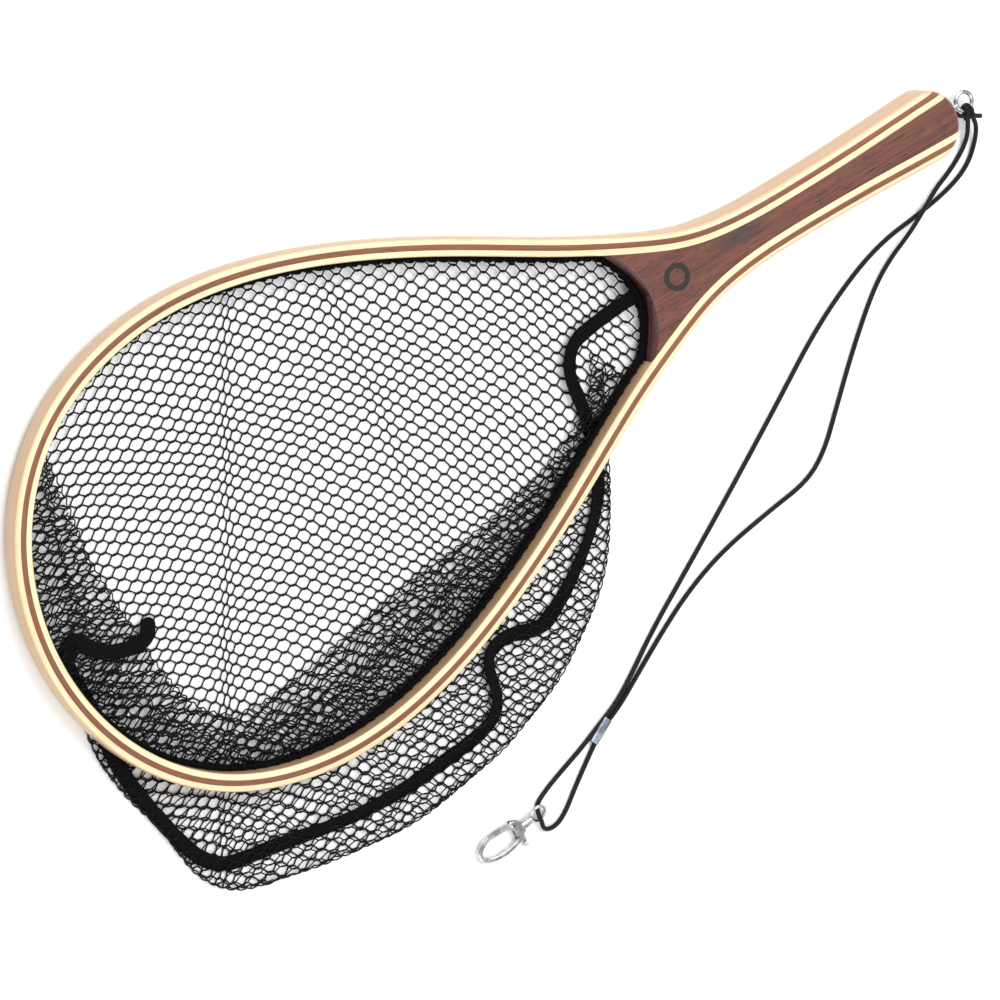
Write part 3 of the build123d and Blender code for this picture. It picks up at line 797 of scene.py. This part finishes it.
@dataclass
class MeshSheet:
    """One layer of six-sided mesh: cells on a skewed lattice, bent by ripples and squeezed along lines.

    A cell's centre is i * across + j * down. Of the corners, each a third of the way between three centres,
    every second one is moved by the lean, which leaves two long thin sides and one short thick joint.
    """

    name: str
    across: tuple[float, float]
    down: tuple[float, float]
    origin: tuple[float, float]
    outline: Array
    height: float
    ripple_wave: float = 90.0
    ripple_size: float = 1.6
    ripple_rise: float = 0.0
    arch: float = 0.0
    seed: float = 0.0
    twine: float = 0.56
    joint: float = 1.9
    lean: tuple[float, float] = (-1.28, 0.05)
    squeezes: tuple[Squeeze, ...] = ()
    reach: int = 75
    row_heading: tuple[float, float] = (-0.869, 0.495)
    sag_heading: tuple[float, float] = (0.446, 0.895)
    arch_offset: float = 58.0
    shortest: float = 0.8
    margin: float = 30.0

    def bend(self, plan: Array) -> Array:
        """Move flat places by the arch, the squeezes and the ripples, in that order."""
        run = (plan - self.origin) @ np.array(self.row_heading)
        moved = plan + (self.arch * (run + self.arch_offset) ** 2)[:, None] * np.array(self.sag_heading)
        for fold in self.squeezes:
            heading = np.array(fold.heading)
            normal = np.array([-heading[1], heading[0]])
            away = (moved - fold.through) @ normal
            moved = moved - (fold.amount * fold.width * np.tanh(away / fold.width))[:, None] * normal
        x, y = moved.T
        step = [ripple(x, y, self.ripple_wave, 0.4 + k, self.seed + 2 * k) for k in (0, 1)]
        return moved + self.ripple_size * np.stack(step, axis=1)

    def build(self, hem: Array, rise_side: float, lift: float, slot_node: str | None) -> bpy.types.Object:
        """Lay the sheet, keep what is inside its outline and draw it up to the hem on one side.

        Args:
            hem: The hem's line in plan.
            rise_side: Sign of Y on which the sheet climbs to the hem, 0 for neither.
            lift: How far it climbs.
            slot_node: CAD node that it stands for.

        Returns:
            The mesh piece.
        """
        steps = np.arange(-self.reach, self.reach + 1)
        i, j = (n.ravel() for n in np.meshgrid(steps, steps))
        across, down = np.array(self.across), np.array(self.down)
        centre = np.array(self.origin) + i[:, None] * across + j[:, None] * down
        one = centre + (across + down) / 3
        starts = np.concatenate([one, one, one])
        other = [(across + down) * 2 / 3, (down * 2 - across) / 3, (across * 2 - down) / 3]
        ends = np.concatenate([centre + self.lean + step for step in other])
        thick = np.repeat([1.0, self.joint, 1.0], len(centre))
        low, high = self.outline.min(axis=0) - self.margin, self.outline.max(axis=0) + self.margin
        near = np.all((starts > low) & (starts < high), axis=1)
        starts, ends, thick = self.bend(starts[near]), self.bend(ends[near]), thick[near]
        in_start, in_end = inside_outline(starts, self.outline), inside_outline(ends, self.outline)
        cut = in_start != in_end
        inner = np.where(in_start[:, None], starts, ends)[cut]
        low, high = np.zeros((len(inner), 1)), np.ones((len(inner), 1))
        reach_out = np.where(in_start[:, None], ends, starts)[cut] - inner
        for _ in range(8):
            half = (low + high) / 2
            held = inside_outline(inner + half * reach_out, self.outline)[:, None]
            low, high = np.where(held, half, low), np.where(held, high, half)
        long_enough = low[:, 0] * np.linalg.norm(reach_out, axis=1) > self.shortest
        both = in_start & in_end
        thick = np.concatenate([thick[both], thick[cut][long_enough]]) * self.twine
        starts = np.concatenate([starts[both], inner[long_enough]])
        ends = np.concatenate([ends[both], (inner + low * reach_out)[long_enough]])
        corners = [self.raised(plan, hem, rise_side, lift) for plan in (starts, ends)]
        gap = corners[1] - corners[0]
        bow = np.stack([-gap[:, 1], gap[:, 0], np.zeros(len(gap))], axis=1) * 0.03
        bow[:, 2] += 0.15 * np.abs(np.sin(37.0 * corners[0][:, 0]))
        knot = np.where(thick > self.twine, 0.72 * thick, 1.18 * thick)
        verts, quads = box_tubes(corners[0], corners[1], knot, thick, bow)
        piece = TWINE.dress(add_mesh(self.name, verts, quads))
        if slot_node:
            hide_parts(slot_node)
        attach(piece, ROOT)
        log.info("%s: %d twines, %d faces", self.name, len(starts), len(quads))
        return piece

    def raised(self, plan: Array, hem: Array, rise_side: float, lift: float) -> Array:
        """Height of the sheet: its own level, ripples inside the mouth and the climb to the hem."""
        away = distance_to(plan, hem)
        within = inside_outline(plan, hem)
        side = smooth_step(0.5 + rise_side * plan[:, 1] / 30.0) if rise_side else 0.0
        neck = smooth_step((135.0 - plan[:, 0]) / 20.0) if rise_side else 0.0
        climb = np.where(within, smooth_step(1 - away / 16.0), smooth_step(1 - away / 2.0)) * np.maximum(side, neck)
        swell = self.ripple_rise * (0.5 + 0.5 * ripple(*plan.T, 46.0, 0.9, self.seed + 1.0))
        swell = swell * np.where(within, smooth_step((away - 2.0) / 12.0), smooth_step((away - 14.0) / 10.0))
        return np.column_stack([plan, self.height + swell + lift * climb])


@dataclass
class Bag:
    """The collapsed bag: hem in the frame, mesh sheets laid over each other, and the keel tape."""

    line: FrameLine
    outline: Points = (
        (150.0, 30.0), (167.0, 73.0), (191.7, 121.3), (242.0, 162.8), (278.0, 178.2), (315.6, 186.4),
        (364.0, 189.9), (400.6, 184.6), (436.2, 177.0), (465.9, 164.4), (477.0, 148.0), (484.0, 117.3),
        (494.0, 86.6), (497.0, 55.0), (488.0, 20.0),
    )
    fold: Points = (
        (150.0, 14.0), (164.0, 36.0), (202.7, 57.0), (251.1, 67.4), (306.8, 73.6), (356.7, 81.6),
        (391.4, 86.0), (419.5, 84.2), (436.9, 68.8), (446.6, 42.8), (450.3, 14.1), (454.1, -11.7),
        (454.8, -42.0), (453.4, -66.7), (452.0, -94.0),
    )
    tape_route: Points = (
        (114.5, -1.2, 6.8, 0.0), (130.0, -0.2, 5.6, 4.0), (149.0, 2.2, 4.9, 0.0), (161.5, 7.2, 4.6, 10.0),
        (167.5, 17.2, 4.4, 12.0), (168.6, 32.0, 3.4, 9.0), (170.5, 58.0, 1.6, 0.0), (178.0, 82.0, 1.3, 6.0),
        (193.0, 101.5, 1.3, 21.0), (224.0, 126.0, 1.3, 5.0), (243.0, 133.4, 1.4, -10.0), (266.0, 128.0, 1.6, 12.0),
        (278.0, 134.0, 1.6, 22.0), (282.0, 153.0, 1.4, 25.0), (292.0, 165.0, 1.3, 12.0), (318.0, 169.6, 1.3, 2.0),
        (354.0, 171.0, 1.3, 8.0), (398.0, 166.2, 1.3, 20.0), (440.0, 157.6, 1.3, 3.0), (464.0, 150.0, 1.4, 9.0),
        (475.0, 134.0, 1.4, 15.0), (482.0, 112.0, 1.3, 22.0), (488.0, 86.0, 1.4, 17.0), (489.6, 58.0, 2.6, 5.0),
        (490.0, 30.0, 4.0, 0.0), (489.5, 8.0, 4.8, 15.0), (484.0, 2.0, 5.0, 23.0), (473.0, 13.5, 5.2, 3.0),
        (460.0, 20.4, 5.2, -4.0), (446.5, 20.8, 5.2, 6.0), (440.6, 12.0, 5.0, 0.0),
    )
    hem_width: float = 3.0
    hem_z: tuple[float, float] = (2.6, 9.4)
    tape_width: float = 8.4

    def build(self) -> None:
        """Make the hem, the stitches, the tape and the mesh."""
        hem = self.line.mouth(0.2 + self.hem_width / 2)
        self.hem_band(hem)
        self.tape()
        rim = smooth_line(self.outline, 900)
        self.edge_twine("mesh_edge_1", rim, 0.8, 0.0, 1.1)
        self.edge_twine("mesh_edge_2", rim, 2.6, 1.9, 0.9)
        mouth = self.line.mouth(0.9)
        whole = self.united(mouth)
        cell = ((-5.41, 4.42), (1.42, 6.63))
        folds = (
            Squeeze((392.0, 15.0), (0.447, 0.894), 8.0, 0.56),
            Squeeze((279.0, 62.0), (0.05, 1.0), 5.0, 0.30),
        )
        MeshSheet(
            "right_mesh", cell[0], cell[1], (325.0, 8.0), whole, 0.85, ripple_size=1.5, arch=0.00105,
            squeezes=folds, twine=0.42,
        ).build(hem, -1.0, 4.2, "right_mesh_panel")
        skirt = smooth_line(self.fold, 260)
        outside = smooth_line(self.outline, 260)
        folded = np.concatenate([outside, skirt[::-1]])
        MeshSheet(
            "left_mesh", (-5.6, 4.3), (3.6, 4.9), (330.0, 100.0), folded, 2.7, ripple_size=2.6,
            ripple_wave=64.0, seed=1.7, twine=0.37, joint=1.6,
        ).build(hem, 1.0, 3.4, "left_mesh_panel")
        layers = (((-6.2, 3.4), (1.6, 5.6), 4.0, 0.0), ((-5.2, 5.2), (2.6, 5.8), 7.3, 0.42))
        for number, (across, down, seed, drawn) in enumerate(layers):
            kept, dense = self.band_inside(mouth, skirt, drawn)
            name = f"left_mesh_fold_{number + 1}"
            level = 3.5 + 0.8 * number
            MeshSheet(
                name, across, down, (330.0, 90.0), dense, level,
                ripple_size=3.0, ripple_wave=52.0, ripple_rise=2.2, seed=seed, twine=0.40, joint=1.7,
            ).build(hem, 1.0, 2.6, None)
            self.edge_twine(f"{name}_edge", kept, level + 0.2, 0.9 + seed, 1.6)

    @staticmethod
    def edge_twine(name: str, line: Array, level: float, phase: float, size: float) -> None:
        """Twine that closes the cut cells of a sheet's edge: z = level, scalloped by size * |sin|.

        Args:
            name: Name of the piece.
            line: The edge in plan.
            level: Height of the twine.
            phase: Start of the scallops.
            size: Depth of the scallops.
        """
        line = even_line(line, 1.1)
        length = length_along(line)
        tangent = unit_rows(np.gradient(line, axis=0))
        out = np.stack([-tangent[:, 1], tangent[:, 0]], axis=1)
        wave = size * np.abs(np.sin(math.pi * length / 6.4 + phase)) + 0.4 * np.sin(length / 9.0 + phase)
        rise = level + 0.25 * np.sin(length / 7.0 + phase)
        path = np.column_stack([line + (wave - size)[:, None] * out, rise])
        verts, quads = sweep(path, round_section(0.42, 6), False)
        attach(TWINE.dress(add_mesh(name, verts, quads)), ROOT)

    def band_inside(self, mouth: Array, skirt: Array, drawn: float) -> tuple[Array, Array]:
        """Gathered band between the fold and the hem, inside the mouth.

        Args:
            mouth: Closed outline of the mouth.
            skirt: Line of the fold.
            drawn: Share of the way that the fold is moved to the hem.

        Returns:
            The band's free edge and its whole outline.
        """
        kept = skirt[inside_outline(skirt, mouth)]
        gaps = np.linalg.norm(kept[:, None] - mouth[None], axis=2)
        kept = kept + drawn * (mouth[np.argmin(gaps, axis=1)] - kept)
        nearest = [int(np.argmin(np.linalg.norm(mouth - end, axis=1))) for end in (kept[0], kept[-1])]
        first, last = sorted(nearest)
        part = mouth[first : last + 1]
        if part[:, 1].mean() < 0:
            part = np.concatenate([mouth[last:], mouth[: first + 1]])
        if np.linalg.norm(part[0] - kept[-1]) > np.linalg.norm(part[-1] - kept[-1]):
            part = part[::-1]
        return kept, np.concatenate([kept, part])

    def united(self, mouth: Array) -> Array:
        """Outline of the mouth and the fallen bag together: the mouth's near part, then the bag's outline."""
        outside = smooth_line(self.outline, 260)
        first = int(np.argmin(np.linalg.norm(mouth - outside[0], axis=1)))
        last = int(np.argmin(np.linalg.norm(mouth - outside[-1], axis=1)))
        first, last = sorted((first, last))
        parts = (mouth[first : last + 1], np.concatenate([mouth[last:], mouth[: first + 1]]))
        part = min(parts, key=lambda p: p[:, 1].mean())
        if np.linalg.norm(part[0] - outside[-1]) > np.linalg.norm(part[-1] - outside[-1]):
            part = part[::-1]
        return np.concatenate([outside, part])

    def hem_band(self, hem: Array) -> None:
        """Hem: a rounded band swept round the mouth, swelling slightly between its stitches."""
        line = even_line(np.concatenate([hem, hem[:1]]), 1.1)[:-1]
        low, high = self.hem_z
        path = np.column_stack([line, np.full(len(line), (low + high) / 2)])
        length = length_along(line)
        puff = 1 + 0.05 * np.sin(2 * math.pi * length / 6.6)
        section = oval_section(self.hem_width, high - low, 3.2, 20)
        verts, quads = sweep(path, section[None] * puff[:, None, None], True)
        turn = np.tile(np.linspace(0, 16.0, 20, endpoint=False), len(path))
        weave = np.stack([np.repeat(length, 20), turn, np.zeros_like(turn)], axis=1)
        piece = WEBBING.dress(add_mesh("hem_band", verts, quads, weave=weave * MM))
        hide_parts("hem_binding")
        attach(piece, ROOT)
        self.stitches(path, section)

    def stitches(self, path: Array, section: Array) -> None:
        """Twine wraps that bind the mesh to the hem, one every few millimetres."""
        picked = path[::6]
        tangent = unit_rows(np.roll(picked, -1, axis=0) - np.roll(picked, 1, axis=0))
        side = np.cross(tangent, [0.0, 0.0, 1.0])
        ring = oval_section(self.hem_width + 0.9, self.hem_z[1] - self.hem_z[0] + 0.5, 3.0, 12)
        slant = 1.4 * ring[:, 1] / ring[:, 1].max()
        places = picked[:, None] + ring[None, :, :1] * side[:, None]
        places = places + np.stack([slant[None] * tangent[:, k : k + 1] for k in range(3)], axis=-1)
        places[..., 2] += ring[None, :, 1]
        start, end = places.reshape(-1, 3), np.roll(places, -1, axis=1).reshape(-1, 3)
        size = np.full(len(start), 0.42)
        verts, quads = box_tubes(start, end, size, size, np.zeros_like(start))
        piece = TWINE.dress(add_mesh("hem_stitches", verts, quads))
        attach(piece, ROOT)

    def tape(self) -> None:
        """Keel tape: a flat ribbed band along its route, turned about its own line and raised by its edge."""
        route = even_line(smooth_line(self.tape_route, 900), 1.2)
        turn = np.radians(route[:, 3])
        path = route[:, :3] + np.abs(np.sin(turn))[:, None] * [0.0, 0.0, self.tape_width / 2 - 0.6]
        section = oval_section(self.tape_width, 1.1, 4.0, 16)
        length = length_along(path)
        frayed = 1 + 0.05 * np.sin(length / 1.9) * np.sin(length / 5.3)
        to_end = np.clip((length[-1] - length) / 4.2, 0.0, 1.0)
        frayed = frayed * np.maximum(np.sqrt(1 - (1 - to_end) ** 2), 0.3)
        x, y = section[:, 0] * frayed[:, None], np.broadcast_to(section[:, 1], (len(path), 16))
        c, s = np.cos(turn)[:, None], np.sin(turn)[:, None]
        verts, quads = sweep(path, np.stack([x * c - y * s, x * s + y * c], axis=-1), False)
        across = np.tile(section[:, 0], len(path) + 2)
        along = np.repeat(np.concatenate([length[:1], length, length[-1:]]), 16)
        weave = np.stack([along, across, np.zeros_like(across)], axis=1)
        piece = WEBBING.dress(add_mesh("keel_tape_band", verts, quads, weave=weave * MM))
        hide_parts("keel_tape")
        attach(piece, ROOT)


# ---------------------------------------------------------------- lanyard
@dataclass
class Lanyard:
    """Elastic cord, its knot on the screw eye, and the metal pieces on it."""

    diameter: float = 2.6
    route: Points = (
        (-113.0, 9.4, 9.2), (-114.6, 15.2, 7.4), (-113.4, 22.2, 4.3), (-109.4, 29.3, 2.0), (-103.4, 35.2, 1.3),
        (-94.0, 39.8, 1.3), (-80.0, 43.4, 1.3), (-62.0, 45.8, 1.3), (-38.0, 48.0, 1.3),
        (-13.0, 55.2, 1.3), (22.0, 71.4, 1.3), (62.0, 97.0, 1.3), (108.0, 125.4, 1.3),
        (150.6, 150.8, 1.3), (183.6, 170.2, 1.3), (207.0, 186.4, 1.5), (221.1, 194.9, 1.8),
        (236.3, 200.6, 1.8), (250.6, 206.4, 1.5), (264.6, 210.9, 1.3), (275.6, 214.6, 1.3),
        (284.6, 218.4, 1.3), (287.7, 221.0, 1.4), (289.2, 224.9, 2.8), (289.8, 229.0, 4.2), (290.0, 233.4, 2.6),
        (286.4, 236.4, 1.3), (280.4, 236.2, 1.3), (273.0, 232.2, 1.3), (263.6, 224.4, 1.3),
        (251.4, 215.0, 1.5), (235.3, 203.2, 1.8), (220.1, 197.5, 1.8), (203.0, 187.8, 1.5),
        (178.8, 174.2, 1.3), (154.8, 162.2, 1.3), (126.5, 152.8, 1.3), (90.6, 147.6, 1.3),
        (63.0, 144.6, 1.3), (46.2, 134.6, 1.3), (29.8, 117.4, 1.3), (6.6, 93.4, 1.3),
        (-19.5, 69.4, 1.3), (-36.0, 58.6, 2.6), (-50.6, 50.8, 6.4), (-64.4, 43.4, 6.4), (-77.6, 38.0, 2.6),
        (-88.0, 34.8, 1.3), (-96.2, 31.0, 1.3), (-104.6, 25.2, 2.6), (-109.2, 17.6, 5.6), (-110.2, 9.6, 9.0),
    )
    knot_centre: tuple[float, float, float] = (-111.25, 8.7, 9.4)
    real_length: float = 0.955

    def spline(self) -> Array:
        """Centre line of the cord: an open curve with one control point for each point of the route."""
        curve = bpy.data.curves.new("cord_line", "CURVE")
        curve.dimensions = "3D"
        run = curve.splines.new("NURBS")
        run.points.add(len(self.route) - 1)
        for point, (x, y, z) in zip(run.points, self.route):
            point.co = (x * MM, y * MM, z * MM, 1.0)
        run.order_u, run.use_endpoint_u, run.resolution_u = 3, True, 10
        holder = bpy.data.objects.new("cord_line", curve)
        bpy.context.scene.collection.objects.link(holder)
        bpy.context.view_layer.update()
        mesh = bpy.data.meshes.new_from_object(holder.evaluated_get(bpy.context.evaluated_depsgraph_get()))
        places = np.zeros(3 * len(mesh.vertices))
        mesh.vertices.foreach_get("co", places)
        bpy.data.objects.remove(holder)
        bpy.data.meshes.remove(mesh)
        bpy.data.curves.remove(curve)
        return places.reshape(-1, 3) / MM

    def tube(self, name: str, path: Array, radius: float, sides: int = 12) -> bpy.types.Object:
        """Braided cord along a path, with its length and turn kept for the braid."""
        verts, quads = sweep(path, round_section(radius, sides), False)
        length = length_along(path)
        along = np.repeat(np.concatenate([length[:1], length, length[-1:]]), sides) * MM
        around = np.tile(np.linspace(0, 1, sides, endpoint=False), len(path) + 2)
        weave = np.stack([along, around, np.zeros_like(along)], axis=1)
        piece = BRAID.dress(add_mesh(name, verts, quads, weave=weave))
        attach(piece, ROOT)
        return piece

    def knot(self) -> bpy.types.Object:
        """Overhand knot: x = sin t + 2 sin 2t, y = cos t - 2 cos 2t, z = sin 3t, drawn small, with a cut end."""
        turn = np.linspace(0, 2 * math.pi, 120)
        x, y = np.sin(turn) + 2 * np.sin(2 * turn), np.cos(turn) - 2 * np.cos(2 * turn)
        loop = np.stack([1.05 * x, 0.62 * y, 1.10 * np.sin(3 * turn)], axis=1) + self.knot_centre
        stub = smooth_line(
            ((-111.6, 8.6, 9.6), (-114.0, 10.4, 9.4), (-116.6, 12.0, 8.9), (-118.4, 13.0, 8.6)), 20
        )
        bridge = smooth_line(
            ((-110.4, 8.6, 9.6), (-107.6, 7.4, 10.0), (-105.0, 5.6, 10.3), (-103.8, 3.3, 10.2)), 20
        )
        wrap = np.linspace(0, 2 * math.pi, 40)
        pieces = [self.tube("lanyard_knot_loop", loop, 1.25), self.tube("lanyard_knot_end", stub, 1.3)]
        pieces.append(self.tube("lanyard_knot_bridge", bridge, 1.25))
        for number, angle in enumerate((76.0, 104.0)):
            out = np.array([math.cos(math.radians(angle)), math.sin(math.radians(angle)), 0.0])
            ring = np.array([-111.25, 0.0, 10.0]) + 5.2 * out
            path = ring + 2.5 * np.cos(wrap)[:, None] * out + 2.5 * np.sin(wrap)[:, None] * np.array([0, 0, 1.0])
            verts, quads = sweep(path[:-1], round_section(1.2, 12), True, np.cross(out, [0.0, 0.0, 1.0]))
            weave = np.stack(
                [np.repeat(np.arange(39) * 0.4, 12) * MM, np.tile(np.arange(12) / 12, 39), np.zeros(468)], axis=1
            )
            piece = BRAID.dress(add_mesh(f"lanyard_knot_wrap_{number + 1}", verts, quads, weave=weave))
            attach(piece, ROOT)
            pieces.append(piece)
        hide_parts("lanyard_knot")
        return pieces[0]

    def build(self) -> None:
        """Make the cord and the knot and dress the metal pieces."""
        path = self.spline()
        cord = self.tube("lanyard_cord_braid", path, self.diameter / 2)
        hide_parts("lanyard_cord")
        log.info("cord length %.4f m", length_along(path)[-1] * MM)
        self.knot()
        for node in ("screw_eye", "swivel_ring", "hook_body", "hook_gate", "gate_pin", "gate_spring"):
            self.dress_node(node, PLATED)
        self.dress_node("crimp_ferrule", ALUMINIUM)

    @staticmethod
    def dress_node(node: str, finish: MetalFinish) -> None:
        """Give a CAD node a finish of its own."""
        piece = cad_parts[node]
        piece.data.materials.clear()
        piece.data.materials.append(finish.material())


# ---------------------------------------------------------------- stage
@dataclass
class Studio:
    """Pale floor, soft light and the camera."""

    camera_place: tuple[float, float, float] = (1.2790, -0.8961, 2.6658)
    right: tuple[float, float, float] = (-0.7992, 0.3931, 0.4547)
    up: tuple[float, float, float] = (-0.4911, -0.8632, -0.1170)
    back: tuple[float, float, float] = (0.3465, -0.3168, 0.8829)
    lens: float = 203.04

    def camera(self) -> None:
        """Place the camera by its three axes."""
        made = bpy.data.objects.new("camera", bpy.data.cameras.new("camera"))
        made.data.lens, made.data.sensor_width = self.lens, 36.0
        made.data.clip_end = 20.0
        turn = Matrix((self.right, self.up, self.back)).transposed().to_4x4()
        made.matrix_world = Matrix.Translation(self.camera_place) @ turn
        bpy.context.scene.collection.objects.link(made)
        bpy.context.scene.camera = made

    def floor(self) -> None:
        """Large pale plane at the surface the net lies on."""
        span = 4000.0
        verts = np.array([[-span, -span, -0.05], [span, -span, -0.05], [span, span, -0.05], [-span, span, -0.05]])
        piece = add_mesh("floor", verts, np.array([[0, 1, 2, 3]]))
        g = Graph("pale floor")
        tone = g.noise(g.here(), 3.0, 2.0)
        piece.data.materials.append(
            g.surface(g.mix(tone, (0.95, 0.95, 0.95), (0.97, 0.97, 0.97)), 0.85)
        )

    def light(self, name: str, place: tuple[float, float, float], size: float, power: float) -> None:
        """Square soft light that faces the middle of the net."""
        data = bpy.data.lights.new(name, "AREA")
        data.shape, data.size, data.energy = "SQUARE", size, power
        made = bpy.data.objects.new(name, data)
        bpy.context.scene.collection.objects.link(made)
        made.location = place
        aim = Vector(place) - Vector((0.2, 0.05, 0.0))
        made.rotation_euler = aim.to_track_quat("Z", "Y").to_euler()

    def build(self) -> None:
        """Set up the stage."""
        self.camera()
        self.floor()
        self.light("key", (-0.6, -1.0, 2.2), 1.6, 42.0)
        self.light("fill", (1.4, 1.2, 2.0), 2.2, 26.0)
        world = bpy.data.worlds.new("studio")
        bpy.context.scene.world = world
        world.use_nodes = True
        sky = world.node_tree.nodes["Background"].inputs
        sky["Color"].default_value = (1.0, 1.0, 1.0, 1.0)
        sky["Strength"].default_value = 0.75
        bpy.context.scene.view_settings.view_transform = "Standard"


def main() -> None:
    logging.basicConfig(level=logging.INFO, format="%(name)s %(message)s")
    Studio().build()
    Lanyard().build()
    line = FrameLine()
    WoodenFrame(line).build()
    Bag(line).build()


if __name__ == "__main__":
    main()
